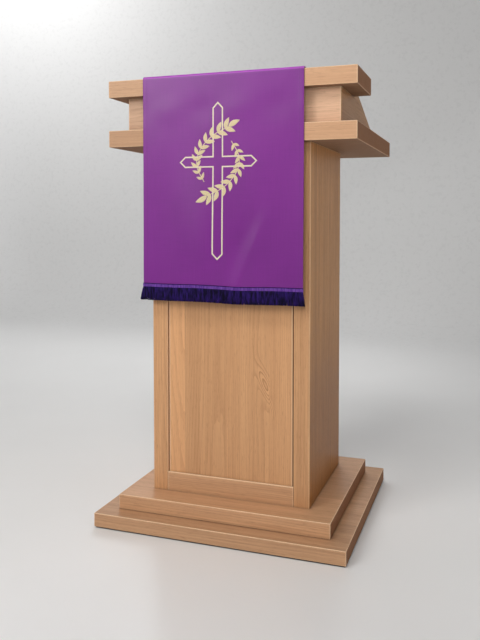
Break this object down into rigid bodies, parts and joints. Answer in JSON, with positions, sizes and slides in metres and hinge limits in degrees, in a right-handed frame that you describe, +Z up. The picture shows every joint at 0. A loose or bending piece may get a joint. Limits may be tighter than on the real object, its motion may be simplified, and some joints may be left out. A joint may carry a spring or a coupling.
{
  "type": "wooden pulpit",
  "caption": "Free-standing oak pulpit with stepped plinth, framed column, open back with loose shelf, sloping reading desk and a fringed cloth fall over its front cap.",
  "frame": {"origin": "on the floor, at the centre of the whole object's box in plan", "axes": "+Z up; the front with the cloth fall faces -Y and the speaker stands at +Y; +X is to the right of someone facing the pulpit's front"},
  "size_m": [0.656, 0.636, 1.1569],
  "materials": {
    "oak": "satin lacquer",
    "beech": "plain turned",
    "steel": "bright zinc plated",
    "zinc": "zinc plated",
    "glide": "matt",
    "fall_cloth": "plain woven, soft sheen",
    "fall_braid": "woven braid",
    "fall_fringe": "twisted threads"
  },
  "bodies": {
    "root": {"plinth_lower": "oak", "plinth_upper": "oak", "stile_front_left": "oak", "stile_front_right": "oak", "rail_front_bottom": "oak", "rail_front_top": "oak", "panel_front": "oak", "side_panel_left": "oak", "side_panel_right": "oak", "rail_back_bottom": "oak", "rail_back_top": "oak", "cleat_bottom_left": "oak", "cleat_bottom_right": "oak", "cleat_top_left": "oak", "cleat_top_right": "oak", "desk_slab": "oak", "neck_front": "oak", "neck_side_left": "oak", "neck_side_right": "oak", "cap": "oak", "reading_board": "oak", "reading_cleat_left": "oak", "reading_cleat_right": "oak", "book_stop": "oak", "neck_dowels": "beech", "cap_dowels": "beech", "rail_dowels": "beech", "plinth_screws": "steel", "cleat_screws": "steel", "shelf_supports": "zinc", "plinth_glides": "glide"},
    "shelf": {"shelf": "oak"},
    "fall": {"fall_drop": "fall_cloth", "fall_top": "fall_cloth", "fall_hem": "fall_cloth", "fall_braid": "fall_braid", "fall_fringe": "fall_fringe", "fall_weight_bar": "steel"}
  },
  "joints": [
    {"name": "shelf_slide", "type": "slide", "parent": "root", "child": "shelf", "axis": [0, 1, 0], "range_m": [0, 0.34]},
    {"name": "fall_lift", "type": "slide", "parent": "root", "child": "fall", "axis": [0, 0, 1], "range_m": [0, 0.6]}
  ]
}
